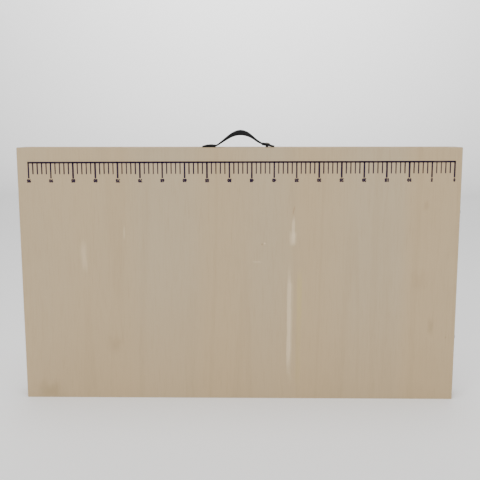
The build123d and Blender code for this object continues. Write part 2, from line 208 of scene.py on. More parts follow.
def settled(name):
    """The new piece under its name, with its object at the origin and its place in its mesh."""
    bpy.ops.object.transform_apply(location=True, rotation=True, scale=True)
    piece = bpy.context.active_object
    piece.name = name
    return piece


def cube(name, low, high):
    """A cube between two corners."""
    nothing_selected()
    low, high = Vector(low), Vector(high)
    bpy.ops.mesh.primitive_cube_add(size=1.0, location=(low + high) / 2, scale=high - low)
    return settled(name)


def pick_edges(piece, wanted):
    """In edit mode, selects the edges whose two ends pass a test."""
    bpy.ops.mesh.select_mode(type="EDGE")
    bpy.ops.mesh.select_all(action="DESELECT")
    mode("OBJECT")
    corners = piece.data.vertices
    for edge in piece.data.edges:
        edge.select = wanted(*(corners[index].co for index in edge.vertices))
    mode("EDIT")


def pick_all():
    bpy.ops.mesh.select_all(action="SELECT")


def leave_closed(merge=TOUCH):
    """Merges a piece's doubles, turns its faces outward and leaves edit mode."""
    pick_all()
    bpy.ops.mesh.remove_doubles(threshold=merge)
    bpy.ops.mesh.normals_make_consistent(inside=False)
    mode("OBJECT")


def round_corners(piece, radius):
    """Takes off the corners of an upright slip, on the edges that run from front to back."""
    mode("EDIT")
    pick_edges(piece, lambda a, b: abs(a.x - b.x) < TOUCH and abs(a.z - b.z) < TOUCH)
    bpy.ops.mesh.bevel(offset=radius, segments=2)
    mode("OBJECT")


def about(place, change):
    """A turn or a stretch made about a place, not about the origin."""
    return Matrix.Translation(place) @ change @ Matrix.Translation(-place)


def copy_of(piece, name):
    """A copy with its own mesh."""
    made = piece.copy()
    made.data = piece.data.copy()
    made.name = name
    bpy.context.scene.collection.objects.link(made)
    return made


def joined(name, pieces):
    """Several pieces as one object."""
    nothing_selected()
    for piece in pieces:
        piece.select_set(True)
    bpy.context.view_layer.objects.active = pieces[0]
    bpy.ops.object.join()
    pieces[0].name = name
    pieces[0].data.name = name
    return pieces[0]


def smoothed(piece, degrees):
    only(piece)
    bpy.ops.object.shade_smooth_by_angle(angle=radians(degrees))


def in_both(names):
    """The names of both sections' pieces of these kinds."""
    return [f"{section}_{name}" for section in SECTIONS for name in names]


def finish_node(name, material):
    """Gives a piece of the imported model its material."""
    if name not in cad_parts:
        raise RuntimeError(f"the packed model has no piece named {name}")
    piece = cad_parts[name]
    if not piece.material_slots:
        raise RuntimeError(f"{name} has no material slot")
    for slot in piece.material_slots:
        slot.material = material


def finish_piece(piece, material):
    piece.data.materials.clear()
    piece.data.materials.append(material)


# ---- Node trees ----
class Net:
    """Adds nodes to one tree and joins them up, so that a pattern reads as a few steps."""

    def __init__(self, tree):
        self.tree = tree

    def node(self, kind, inputs=None, **settings):
        made = self.tree.nodes.new(kind)
        made.location = (180 * (len(self.tree.nodes) % 12), -220 * (len(self.tree.nodes) // 12))
        for key, value in settings.items():
            setattr(made, key, value)
        for socket, value in (inputs or {}).items():
            self.feed(made.inputs[socket], value)
        return made

    def feed(self, socket, value):
        if isinstance(value, bpy.types.NodeSocket):
            self.tree.links.new(value, socket)
        elif socket.type == "RGBA" and len(value) == 3:
            socket.default_value = (*value, 1.0)
        else:
            socket.default_value = value

    def math(self, operation, *values):
        return self.node("ShaderNodeMath", dict(enumerate(values)), operation=operation).outputs[0]

    def times(self, first, second):
        return self.math("MULTIPLY", first, second)

    def scaled(self, value, factor, added):
        return self.math("MULTIPLY_ADD", value, factor, added)

    def minus(self, first, second):
        return self.math("SUBTRACT", first, second)

    def vector(self, operation, *values):
        return self.node("ShaderNodeVectorMath", dict(enumerate(values)), operation=operation).outputs[0]

    def distance(self, vector):
        return self.node("ShaderNodeVectorMath", {0: vector}, operation="LENGTH").outputs["Value"]

    def combined(self, x, y, z):
        return self.node("ShaderNodeCombineXYZ", {0: x, 1: y, 2: z}).outputs[0]

    def parts(self, vector):
        return self.node("ShaderNodeSeparateXYZ", {0: vector}).outputs

    def noise(self, vector, scale, detail=2.0, roughness=0.5, distortion=0.0):
        values = {"Vector": vector, "Scale": scale, "Detail": detail}
        values |= {"Roughness": roughness, "Distortion": distortion}
        return self.node("ShaderNodeTexNoise", values).outputs[0]

    def ramp(self, value, start, end, low=0.0, high=1.0):
        """A smooth step from low to high as the value goes from start to end."""
        values = {0: value, 1: start, 2: end, 3: low, 4: high}
        return self.node("ShaderNodeMapRange", values, interpolation_type="SMOOTHSTEP").outputs[0]

    def mix(self, share, first, second):
        values = {0: share, 6: first, 7: second}
        return self.node("ShaderNodeMix", values, data_type="RGBA").outputs[2]

    def tint(self, mask, share, base, over):
        """Lays one colour over another where a mask shows, up to a share."""
        return self.mix(self.times(mask, share), base, over)

    def group(self, name, inputs):
        made = self.node("ShaderNodeGroup", node_tree=bpy.data.node_groups[name])
        for socket, value in inputs.items():
            self.feed(made.inputs[socket], value)
        return made.outputs

    def curve(self, value, stops):
        """A value that follows (place, height) stops along another one."""
        made = self.node("ShaderNodeValToRGB", {0: value})
        ramp = made.color_ramp
        ramp.interpolation = "B_SPLINE"
        for end, (place, height) in zip(ramp.elements, (stops[0], stops[-1])):
            end.position = place
            end.color = (height, height, height, 1)
        for place, height in stops[1:-1]:
            ramp.elements.new(place).color = (height, height, height, 1)
        return made.outputs[0]


def new_group(name, inputs, outputs):
    """An empty node group that takes a place and other inputs: its net, inputs and outputs."""
    tree = bpy.data.node_groups.new(name, "ShaderNodeTree")
    for label, default in {"Vector": (0.0, 0.0, 0.0), **inputs}.items():
        kind = "NodeSocketFloat" if isinstance(default, float) else "NodeSocketVector"
        socket = tree.interface.new_socket(label, in_out="INPUT", socket_type=kind)
        socket.default_value = default
    for label in outputs:
        tree.interface.new_socket(label, in_out="OUTPUT", socket_type="NodeSocketFloat")
    net = Net(tree)
    inlet = net.node("NodeGroupInput").outputs
    outlet = net.node("NodeGroupOutput").inputs
    return net, inlet, outlet


def make_grain_group():
    """Growth rings, fine fibres and broad figure of wood, with the grain along Z."""
    net, inlet, outlet = new_group(
        "Wood grain",
        {"Ring Scale": 20.0, "Ring Count": 6.0, "Fibre Scale": 800.0, "Stretch": 0.03, "Seed": 0.0},
        ("Rings", "Fibre", "Figure"),
    )
    seed = inlet["Seed"]
    away = net.combined(seed, net.times(seed, 1.7), seed)
    place = net.vector("ADD", inlet["Vector"], away)
    along = net.vector("MULTIPLY", place, net.combined(1.0, 1.0, inlet["Stretch"]))
    field = net.noise(along, inlet["Ring Scale"], 1.5, 0.4, 0.1)
    turns = net.times(net.times(field, inlet["Ring Count"]), 2 * pi)
    wave = net.scaled(net.math("SINE", turns), 0.5, 0.5)
    net.feed(outlet["Rings"], net.math("POWER", wave, 2.2))
    net.feed(outlet["Fibre"], net.noise(along, inlet["Fibre Scale"], 3.0, 0.6))
    net.feed(outlet["Figure"], net.noise(along, 7.0, 2.0, 0.5))


def make_edge_group():
    """1 along the edges of a box-shaped piece, where two of its sides are near."""
    net, inlet, outlet = new_group(
        "Edge wear",
        {"Low": (0.0, 0.0, 0.0), "High": (1.0, 1.0, 1.0), "Width": 0.002, "Scale": 160.0},
        ("Wear",),
    )
    from_low = net.vector("SUBTRACT", inlet["Vector"], inlet["Low"])
    from_high = net.vector("SUBTRACT", inlet["High"], inlet["Vector"])
    near = net.parts(net.vector("MINIMUM", from_low, from_high))
    small = net.math("MINIMUM", near[0], near[1])
    large = net.math("MAXIMUM", near[0], near[1])
    second = net.math("MAXIMUM", small, net.math("MINIMUM", large, near[2]))
    ragged = net.ramp(net.noise(inlet["Vector"], inlet["Scale"], 3.0, 0.6), 0.3, 0.75, 0.25, 1.6)
    reach = net.times(inlet["Width"], ragged)
    net.feed(outlet["Wear"], net.ramp(second, 0.0, reach, 1.0, 0.0))


def make_handling_group():
    """Marks of use: cloudy smudges, small flecks, and dust that lies in patches."""
    net, inlet, outlet = new_group(
        "Handling",
        {"Smudge Scale": 12.0, "Fleck Scale": 420.0, "Seed": 0.0},
        ("Smudge", "Fleck", "Dust"),
    )
    seed = inlet["Seed"]
    place = net.vector("ADD", inlet["Vector"], net.combined(seed, seed, seed))
    cloud = net.noise(place, inlet["Smudge Scale"], 4.0, 0.55)
    net.feed(outlet["Smudge"], net.ramp(cloud, 0.42, 0.72))
    net.feed(outlet["Fleck"], net.ramp(net.noise(place, inlet["Fleck Scale"], 1.0), 0.7, 0.8))
    haze = net.times(cloud, net.noise(place, 1400.0, 2.0, 0.7))
    net.feed(outlet["Dust"], net.ramp(haze, 0.2, 0.42))


def make_stain_group():
    """A ragged stain, long or round with full ends, about a place; it may lean with its height."""
    net, inlet, outlet = new_group(
        "Stain",
        {
            "Centre": (0.0, 0.0, 0.0),
            "Reach": (0.01, 1.0, 0.01),
            "Lean": 0.0, "Ragged": 0.5, "Ragged Scale": 60.0, "Soft": 0.5,
        },
        ("Mask",),
    )
    offset = net.vector("SUBTRACT", inlet["Vector"], inlet["Centre"])
    leaning = net.times(net.parts(offset)[2], inlet["Lean"])
    sheared = net.vector("SUBTRACT", offset, net.combined(leaning, 0.0, 0.0))
    share = net.vector("DIVIDE", sheared, inlet["Reach"])
    away = net.math("SQRT", net.distance(net.vector("MULTIPLY", share, share)))
    grain = net.vector("MULTIPLY", inlet["Vector"], (1.0, 1.0, 0.35))
    wobble = net.minus(net.noise(grain, inlet["Ragged Scale"], 3.0, 0.6), 0.5)
    rough = net.scaled(wobble, inlet["Ragged"], away)
    inner = net.minus(1.0, inlet["Soft"])
    net.feed(outlet["Mask"], net.ramp(rough, inner, 1.0, 1.0, 0.0))


def make_ply_edge_group():
    """The plies that show at a board's edge, from the depth below its outer face."""
    net, inlet, outlet = new_group(
        "Ply edge",
        {"Depth": 0.0, "Thickness": 0.004},
        ("Core", "Glue", "Pores"),
    )
    share = net.math("DIVIDE", inlet["Depth"], inlet["Thickness"])
    off_middle = net.math("ABSOLUTE", net.minus(share, 0.5))
    wander = net.times(net.minus(net.noise(inlet["Vector"], 60.0), 0.5), 0.08)
    place = net.math("ADD", off_middle, wander)
    net.feed(outlet["Core"], net.ramp(place, 0.2, 0.23, 1.0, 0.0))
    line = net.math("ABSOLUTE", net.minus(place, 0.215))
    net.feed(outlet["Glue"], net.ramp(line, 0.0, 0.035, 1.0, 0.0))
    net.feed(outlet["Pores"], net.noise(inlet["Vector"], 2600.0, 2.0, 0.7))


def make_plating_group():
    """Plated metal: a cloudy bloom, fine scuffs, and the height of both."""
    net, inlet, outlet = new_group(
        "Plating",
        {"Bloom Scale": 90.0, "Scuff Scale": 900.0},
        ("Bloom", "Scuff", "Height"),
    )
    bloom = net.noise(inlet["Vector"], inlet["Bloom Scale"], 3.0, 0.6, 0.4)
    strokes = net.vector("MULTIPLY", inlet["Vector"], (1.0, 1.0, 0.08))
    scuff = net.noise(strokes, inlet["Scuff Scale"], 4.0, 0.7)
    net.feed(outlet["Bloom"], net.ramp(bloom, 0.35, 0.7))
    net.feed(outlet["Scuff"], net.ramp(scuff, 0.5, 0.72))
    net.feed(outlet["Height"], net.scaled(scuff, 0.7, net.times(bloom, 0.3)))


def make_moulding_group():
    """Moulded plastic: a fine pebbled grain, and flow marks that change its gloss."""
    net, inlet, outlet = new_group(
        "Moulding",
        {"Pebble Scale": 1500.0, "Flow Scale": 70.0},
        ("Pebble", "Flow"),
    )
    cells = net.node(
        "ShaderNodeTexVoronoi",
        {"Vector": inlet["Vector"], "Scale": inlet["Pebble Scale"]},
        feature="SMOOTH_F1",
    )
    net.feed(outlet["Pebble"], cells.outputs["Distance"])
    net.feed(outlet["Flow"], net.noise(inlet["Vector"], inlet["Flow Scale"], 2.0, 0.5, 1.0))


def make_groups():
    """Every shared group, made once for the file."""
    if "Wood grain" in bpy.data.node_groups:
        return
    make_grain_group()
    make_edge_group()
    make_handling_group()
    make_stain_group()
    make_ply_edge_group()
    make_plating_group()
    make_moulding_group()


def new_material(name):
    """A material with an empty shader: its net, its shader and its two kinds of coordinate."""
    make_groups()
    material = bpy.data.materials.new(name)
    material.use_nodes = True
    material.node_tree.nodes.clear()
    net = Net(material.node_tree)
    shader = net.node("ShaderNodeBsdfPrincipled")
    out = net.node("ShaderNodeOutputMaterial")
    net.feed(out.inputs["Surface"], shader.outputs["BSDF"])
    coords = net.node("ShaderNodeTexCoord").outputs
    return material, net, shader.inputs, coords


# Each kind of surface: its shine, then the depth and the strength of its relief.
SURFACES = {
    "softwood": (0.3, 0.35 * MM, 1.0),
    "plywood": (0.25, 0.25 * MM, 1.0),
    "metal": (0.5, 0.06 * MM, 1.0),
    "plastic": (0.15, 0.12 * MM, 0.6),
    "ink": (0.12, 0.08 * MM, 1.0),
}


def coat(net, shader, kind, shade, rough, height):
    """Feeds a finished pattern to a shader, with the shine and the relief of its kind."""
    shine, depth, strength = SURFACES[kind]
    net.feed(shader["Base Color"], shade)
    net.feed(shader["Roughness"], rough)
    shader["Specular IOR Level"].default_value = shine
    bump = net.node("ShaderNodeBump", {"Height": height, "Distance": depth, "Strength": strength})
    net.feed(shader["Normal"], bump.outputs["Normal"])


# ---- Wood ----
TO_GRAIN = {0: (0.0, radians(-90), 0.0), 1: (radians(90), 0.0, 0.0), 2: (0.0, 0.0, 0.0)}


def softwood(name, node, pale, dark, seed):
    """Planed softwood with its grain along the longest side of a piece, and end grain at its ends."""
    low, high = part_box(node)
    size = high - low
    axis = max(range(3), key=lambda i: size[i])
    material, net, shader, coords = new_material(name)
    place = coords["Object"]
    turned = net.node("ShaderNodeMapping", {"Vector": place, "Rotation": Euler(TO_GRAIN[axis])}).outputs[0]
    lengthwise = {"Vector": turned, "Seed": seed, "Ring Scale": 24.0, "Ring Count": 7.0}
    across = {"Vector": turned, "Seed": seed, "Ring Scale": 60.0, "Ring Count": 4.0, "Stretch": 1.0}
    grain = net.group("Wood grain", lengthwise)
    ends = net.group("Wood grain", across)
    handling = net.group("Handling", {"Vector": place, "Seed": seed})
    wear = net.group("Edge wear", {"Vector": place, "Low": low, "High": high, "Width": 1.8 * MM})

    facing = net.math("ABSOLUTE", net.parts(coords["Normal"])[axis])
    is_end = net.ramp(facing, 0.6, 0.75)
    rings = net.tint(grain["Rings"], 0.55, pale, dark)
    fibred = net.tint(grain["Fibre"], 0.35, rings, dark)
    figured = net.mix(net.ramp(grain["Figure"], 0.4, 0.75, 0.0, 0.35), fibred, dark)
    end_shade = shaded(dark, 0.62)
    end_wood = net.mix(ends["Rings"], shaded(pale, 0.8), end_shade)
    wood = net.tint(is_end, 0.85, figured, end_wood)
    grubby = net.tint(handling["Smudge"], 0.12, wood, (0.25, 0.2, 0.15))
    worn = net.tint(wear["Wear"], 0.3, grubby, shaded(dark, 0.6))
    rough = net.scaled(handling["Smudge"], -0.08, net.scaled(grain["Rings"], -0.08, 0.68))
    height = net.scaled(grain["Rings"], 0.3, net.times(grain["Fibre"], 0.7))
    coat(net, shader, "softwood", worn, rough, height)
    return material


# Tone across the face: share of its length, and how warm it is.
FACE_BANDS = (
    (0.0, 0.5), (0.19, 0.5), (0.22, 0.75), (0.27, 0.55), (0.31, 0.2), (0.37, 0.22),
    (0.42, 0.8), (0.48, 0.62), (0.54, 0.2), (0.61, 0.24), (0.65, 0.85), (0.69, 0.35),
    (0.78, 0.15), (0.86, 0.25), (0.91, 0.85), (0.95, 0.6), (1.0, 0.5),
)

# Each mark in the front veneer: middle (x, z), reach (x, z), lean, raggedness, softness and strength.
FACE_STAINS = (
    ((-286.0, 127.0), (26.0, 30.0), 0.0, 1.2, 0.9, 0.30),
    ((440.0, 172.0), (11.0, 28.0), 0.0, 1.0, 0.9, 0.42),
    ((420.0, 452.0), (9.0, 16.0), 0.0, 1.0, 0.8, 0.32),
    ((410.0, 280.0), (22.0, 34.0), 0.0, 1.4, 0.9, 0.22),
    ((-443.0, 16.0), (46.0, 30.0), 0.0, 1.2, 0.9, 0.50),
    ((53.0, 364.0), (2.4, 2.6), 0.0, 0.6, 0.6, 0.75),
    ((475.0, 148.0), (2.0, 2.6), 0.0, 0.6, 0.6, 0.60),
)
FACE_HONEY = (
    ((138.5, 240.0), (8.0, 76.0), 0.006, 0.7, 0.6, 0.48),
    ((137.0, 110.0), (8.0, 110.0), 0.006, 0.7, 0.7, 0.25),
)
FACE_STREAKS = (
    ((114.8, 182.0), (5.8, 152.0), 0.008, 0.7, 0.55, 0.44),
    ((119.5, 170.0), (5.0, 140.0), 0.008, 0.9, 0.9, 0.22),
    ((123.6, 397.0), (4.4, 35.0), 0.0, 0.7, 0.6, 0.40),
    ((122.4, 377.0), (10.5, 20.0), 0.0, 0.8, 0.7, 0.34),
    ((-352.0, 336.0), (9.5, 46.0), -0.03, 1.2, 0.9, 0.26),
    ((-259.0, 389.0), (3.0, 20.0), 0.0, 1.0, 0.8, 0.25),
    ((41.5, 323.5), (14.0, 1.4), 0.0, 0.7, 0.7, 0.30),
    ((59.0, 366.0), (2.4, 2.4), 0.0, 0.6, 0.6, 0.45),
)
FACE_LINES = (((124.0, 441.0), (1.5, 12.0), 0.2, 0.8, 0.6, 0.50),)


def marked(net, place, marks, face_y, colour_in, colour_mark, where):
    """Lays a list of marks over a colour, where a mask allows them."""
    for centre, reach, lean, ragged, soft, strength in marks:
        values = {
            "Vector": place,
            "Centre": (centre[0] * MM, face_y, centre[1] * MM),
            "Reach": (reach[0] * MM, 1.0, reach[1] * MM),
            "Lean": lean, "Ragged": ragged, "Soft": soft,
        }
        mask = net.times(net.group("Stain", values)["Mask"], where)
        colour_in = net.tint(mask, strength, colour_in, colour_mark)
    return colour_in


def plywood(name, node, colours, outer_side, seed, marks):
    """Bare plywood: bands and fibres across the faces, plies at the edges, and the front's own marks."""
    low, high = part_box(node)
    outer_y = low.y if outer_side < 0 else high.y
    material, net, shader, coords = new_material(name)
    place = coords["Object"]
    spots = net.parts(place)
    normal = net.parts(coords["Normal"])
    is_edge = net.ramp(net.math("ABSOLUTE", normal[1]), 0.5, 0.7, 1.0, 0.0)
    is_outer = net.ramp(net.times(normal[1], float(outer_side)), 0.5, 0.7)

    broad = {"Ring Scale": 9.0, "Ring Count": 5.0, "Fibre Scale": 420.0, "Stretch": 0.05}
    grain = net.group("Wood grain", {"Vector": place, "Seed": seed, **broad})
    handling = net.group("Handling", {"Vector": place, "Seed": seed, "Smudge Scale": 7.0})
    wear = net.group("Edge wear", {"Vector": place, "Low": low, "High": high, "Width": 1.6 * MM})
    depth = net.math("ABSOLUTE", net.minus(spots[1], outer_y))
    plies = net.group("Ply edge", {"Vector": place, "Depth": depth, "Thickness": high.y - low.y})

    along = net.ramp(spots[0], low.x, high.x)
    along.node.interpolation_type = "LINEAR"
    if outer_side > 0:
        along = net.minus(1.0, along)
    bands = net.curve(along, FACE_BANDS)
    drift = net.scaled(net.minus(grain["Figure"], 0.5), 1.1, bands)
    toned = net.mix(net.ramp(drift, 0.15, 0.85), colours.ply_cool, colours.ply_warm)
    base = net.mix(0.35, toned, colours.ply_pale)
    low_down = net.ramp(spots[2], 0.0, 0.34, 0.55, 0.0)
    base = net.mix(low_down, base, colours.ply_warm)
    fibred = net.mix(net.ramp(grain["Fibre"], 0.45, 0.8, 0.0, 0.22), base, colours.ply_stain)
    ringed = net.mix(net.ramp(grain["Rings"], 0.55, 1.0, 0.0, 0.10), fibred, colours.ply_stain)
    flecked = net.tint(handling["Fleck"], 0.10, ringed, colours.ply_stain)
    face = net.tint(handling["Smudge"], 0.07, flecked, colours.ply_stain)
    if marks:
        for kind, shade in (
            (FACE_STAINS, colours.ply_stain),
            (FACE_HONEY, colours.ply_honey),
            (FACE_LINES, colours.ply_core),
            (FACE_STREAKS, colours.ply_streak),
        ):
            face = marked(net, place, kind, outer_y, face, shade, is_outer)

    core = net.mix(plies["Core"], colours.ply_pale, colours.ply_core)
    glued = net.tint(plies["Glue"], 0.6, core, shaded(colours.ply_core, 0.5))
    pored = net.mix(net.ramp(plies["Pores"], 0.45, 0.75, 0.0, 0.35), glued, colours.ply_core)
    board = net.tint(is_edge, 0.9, face, pored)
    worn = net.tint(wear["Wear"], 0.28, board, colours.ply_stain)
    rough = net.scaled(handling["Smudge"], -0.06, net.scaled(grain["Fibre"], 0.14, 0.60))
    height = net.scaled(grain["Rings"], 0.15, net.times(grain["Fibre"], 0.85))
    coat(net, shader, "plywood", worn, rough, height)
    return material


# ---- Metal, plastic and ink ----
def plated(name, colour_in, dull, bloom_scale=90.0):
    """Plated steel or brass, with a cloudy bloom and fine scuffs."""
    material, net, shader, coords = new_material(name)
    place = coords["Object"]
    plating = net.group("Plating", {"Vector": place, "Bloom Scale": bloom_scale})
    handling = net.group("Handling", {"Vector": place, "Smudge Scale": 60.0})
    bloomed = net.tint(plating["Bloom"], 0.35, colour_in, dull)
    scuffed = net.tint(plating["Scuff"], 0.25, bloomed, shaded(colour_in, 0.7))
    dusty = net.tint(handling["Dust"], 0.15, scuffed, (0.35, 0.32, 0.28))
    net.feed(shader["Metallic"], net.scaled(handling["Dust"], -0.25, 1.0))
    rough = net.scaled(plating["Scuff"], 0.12, net.scaled(plating["Bloom"], 0.14, 0.27))
    coat(net, shader, "metal", dusty, rough, plating["Height"])
    return material


def moulded(name, colour_in, low, high, dullness, pebble):
    """Moulded plastic with a pebbled skin, paler where its edges are rubbed."""
    material, net, shader, coords = new_material(name)
    place = coords["Object"]
    skin = net.group("Moulding", {"Vector": place, "Pebble Scale": pebble})
    handling = net.group("Handling", {"Vector": place, "Smudge Scale": 55.0})
    rim = {"Vector": place, "Low": low, "High": high, "Width": 2.2 * MM, "Scale": 300.0}
    wear = net.group("Edge wear", rim)
    rubbed = tuple(0.9 * c + 0.012 for c in colour_in)
    hazed = net.tint(skin["Flow"], 0.35, colour_in, shaded(colour_in, 1.5))
    worn = net.tint(wear["Wear"], 0.5, hazed, rubbed)
    dusty = net.tint(handling["Dust"], 0.04, worn, (0.2, 0.19, 0.18))
    rough = net.scaled(handling["Smudge"], 0.08, net.scaled(skin["Flow"], 0.16, dullness))
    coat(net, shader, "plastic", dusty, rough, skin["Pebble"])
    return material


def printed(name, ink, board, cover):
    """Screen-printed ink that lets the board through in places; cover is how much of it holds."""
    material, net, shader, coords = new_material(name)
    place = coords["Object"]
    grain = net.group("Wood grain", {"Vector": place, "Fibre Scale": 900.0, "Stretch": 0.12})
    handling = net.group("Handling", {"Vector": place, "Smudge Scale": 26.0, "Fleck Scale": 1600.0})
    starved = net.ramp(grain["Fibre"], cover - 0.12, cover + 0.18, 0.0, 0.75)
    patchy = net.math("MAXIMUM", starved, net.times(handling["Smudge"], 0.08))
    speckled = net.math("MAXIMUM", patchy, net.times(handling["Fleck"], 0.6))
    rough = net.scaled(grain["Fibre"], 0.2, 0.45)
    coat(net, shader, "ink", net.mix(speckled, ink, board), rough, grain["Fibre"])
    return material


def plain_floor(name, colour_in):
    """The studio's pale floor, all but even."""
    material, net, shader, coords = new_material(name)
    cloud = net.noise(coords["Object"], 0.8, 2.0)
    net.feed(shader["Base Color"], net.mix(cloud, colour_in, shaded(colour_in, 0.985)))
    net.feed(shader["Roughness"], net.scaled(cloud, 0.05, 0.85))
    shader["Specular IOR Level"].default_value = 0.1
    return material


# ---- Operators ----
SWEEP_CURVE = 2.5  # how far the curve from floor to backdrop reaches along each


def aimed(pitch, yaw):
    """How a lamp is turned: up from the floor, then round."""
    return (radians(pitch), 0, radians(yaw))


class TABLE_OT_stage(bpy.types.Operator):
    """Lay the pale floor and backdrop, and set up the soft lights and the camera"""

    bl_idname = "pasting_table.stage"
    bl_label = "Studio"

    def execute(self, context):
        stage = context.scene.table_stage
        nothing_selected()
        bpy.ops.mesh.primitive_plane_add(size=stage.floor_size, location=(0, 0, CASE_LOW.z))
        sweep = settled("studio_sweep")
        back = stage.floor_size / 2
        mode("EDIT")
        pick_edges(sweep, lambda a, b: min(a.y, b.y) > back - 0.01)
        bpy.ops.mesh.extrude_region_move(TRANSFORM_OT_translate={"value": (0, 0, stage.wall_height)})
        pick_edges(sweep, lambda a, b: min(a.y, b.y) > back - 0.01 and max(a.z, b.z) < 0.01)
        bpy.ops.mesh.bevel(offset=SWEEP_CURVE, offset_type="OFFSET", segments=24)
        mode("OBJECT")
        smoothed(sweep, 40)
        finish_piece(sweep, plain_floor("Studio floor", context.scene.table_colours.floor))

        lamps = (
            ("top_light", (0, -0.5, 4.4), aimed(0, 0), 4.0, stage.top_power),
            ("key_light", (-1.7, -3.2, 1.9), aimed(66, -27), 2.4, stage.key_power),
            ("fill_light", (2.3, -3.0, 1.2), aimed(76, 36), 2.4, stage.fill_power),
            ("wall_light", (0, 2.2, 4.2), aimed(122, 0), 3.6, stage.wall_power),
        )
        for name, place, turn, size, watts in lamps:
            nothing_selected()
            bpy.ops.object.light_add(type="AREA", location=place, rotation=turn)
            lamp = context.active_object
            lamp.name = name
            lamp.data.shape = "SQUARE"
            lamp.data.size = size
            lamp.data.energy = watts

        world = context.scene.world or bpy.data.worlds.new("Studio")
        context.scene.world = world
        world.use_nodes = True
        sky = world.node_tree.nodes["Background"].inputs
        sky["Color"].default_value = (1, 1, 1, 1)
        sky["Strength"].default_value = stage.sky

        view = (
            Matrix.Rotation(stage.turn, 3, "Z")
            @ Matrix.Rotation(pi / 2 - stage.tilt, 3, "X")
            @ Matrix.Rotation(stage.roll, 3, "Z")
        )
        nothing_selected()
        bpy.ops.object.camera_add(location=stage.camera_place, rotation=view.to_euler())
        camera = context.active_object
        camera.name = "studio_camera"
        camera.data.sensor_width = 36.0
        camera.data.lens = stage.lens
        context.scene.camera = camera
        return {"FINISHED"}


class TABLE_OT_faces(bpy.types.Operator):
    """Finish the two plywood boards, with the marks that the front veneer has"""

    bl_idname = "pasting_table.faces"
    bl_label = "Plywood boards"

    def execute(self, context):
        colours = context.scene.table_colours
        for seed, (section, outer) in enumerate((("front", -1), ("rear", 1))):
            node = f"{section}_table_top"
            board = plywood(f"{section} plywood", node, colours, outer, 3.1 * seed, section == "front")
            finish_node(node, board)
        return {"FINISHED"}


def finish_timber(names, pale, dark, first, step):
    """Gives both sections' pieces of wood a grain of their own, by a seed that steps on."""
    for index, node in enumerate(in_both(names)):
        finish_node(node, softwood(f"{node} wood", node, pale, dark, step * index + first))


class TABLE_OT_rails(bpy.types.Operator):
    """Finish the rails, bearers and battens in planed softwood"""

    bl_idname = "pasting_table.rails"
    bl_label = "Rails and battens"

    def execute(self, context):
        colours = context.scene.table_colours
        names = ("lower_rail", "upper_rail", "hinge_rail", "end_rail", "bearer", "centre_batten")
        finish_timber(names, colours.rail_pale, colours.rail_dark, 0.4, 1.3)
        return {"FINISHED"}


class TABLE_OT_leg_frames(bpy.types.Operator):
    """Finish the legs and crossbars in planed softwood"""

    bl_idname = "pasting_table.leg_frames"
    bl_label = "Leg frames"

    def execute(self, context):
        colours = context.scene.table_colours
        names = ("lower_leg", "upper_leg", "top_crossbar", "middle_crossbar", "low_crossbar")
        finish_timber(names, colours.leg_pale, colours.leg_dark, 7.7, 0.9)
        return {"FINISHED"}


class TABLE_OT_steel(bpy.types.Operator):
    """Finish the hinges, stays, pins, rivets and hooks in plated steel"""

    bl_idname = "pasting_table.steel"
    bl_label = "Hinges, stays and hooks"

    def execute(self, context):
        zinc = context.scene.table_colours.zinc
        sheet = plated("Zinc plate", zinc, shaded(zinc, 0.6))
        pressed = in_both([*(f"{level}_hinge_leaf" for level in LEVELS), "lower_stay", "upper_stay"])
        for node in (*pressed, "lower_latch_hook", "upper_latch_hook"):
            finish_node(node, sheet)
        turned = plated("Zinc rod", shaded(zinc, 0.92), shaded(zinc, 0.5), 140.0)
        for node in (*in_both(("stay_pins", "stay_rivets")), "hinge_pins"):
            finish_node(node, turned)
        return {"FINISHED"}


class TABLE_OT_screws(bpy.types.Operator):
    """Finish the zinc screws, and the handle's brass screws with their cup washers"""

    bl_idname = "pasting_table.screws"
    bl_label = "Screws and washers"

    def execute(self, context):
        colours = context.scene.table_colours
        zinc = plated("Zinc screw", shaded(colours.zinc, 0.9), (0.42, 0.38, 0.26), 220.0)
        kinds = ("corner_screws", "crossbar_screws", "hinge_screws", "pivot_screws")
        for node in (*in_both(kinds), "latch_hook_screws", "latch_keeper_screws"):
            finish_node(node, zinc)
        brass = plated("Brass", colours.brass, shaded(colours.brass, 0.45), 260.0)
        for node in ("handle_screws", "handle_washers"):
            finish_node(node, brass)
        return {"FINISHED"}


class TABLE_OT_glides(bpy.types.Operator):
    """Finish the moulded feet of the legs and the spacers beside them"""

    bl_idname = "pasting_table.glides"
    bl_label = "Feet and spacers"

    def execute(self, context):
        grey = context.scene.table_colours.glide
        for node in in_both(("foot_glides", "pivot_spacers")):
            low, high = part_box(node)
            finish_node(node, moulded(f"{node} plastic", grey, low, high, 0.5, 1100.0))
        return {"FINISHED"}


# The strap from left to right, in millimetres: place along the case, then the heights of its top
# and its underside above the rail.
STRAP_STATIONS = (
    (-78.9, 3.7, 1.1),
    (-66.0, 3.7, 1.1),
    (-56.4, 4.4, 1.0),
    (-48.9, 7.3, 3.0),
    (-41.3, 12.7, 7.5),
    (-33.9, 18.9, 12.2),
    (-26.3, 25.2, 16.9),
    (-19.3, 30.3, 20.8),
    (-12.3, 34.5, 23.7),
    (-4.3, 37.6, 25.8),
    (3.7, 38.7, 26.6),
    (11.7, 37.3, 25.7),
    (19.7, 33.9, 23.5),
    (26.7, 29.0, 20.5),
    (33.7, 23.1, 16.1),
    (41.2, 16.8, 11.0),
    (48.7, 11.9, 7.3),
    (54.6, 8.9, 5.2),
    (66.0, 6.4, 3.7),
    (78.9, 4.0, 1.4),
)


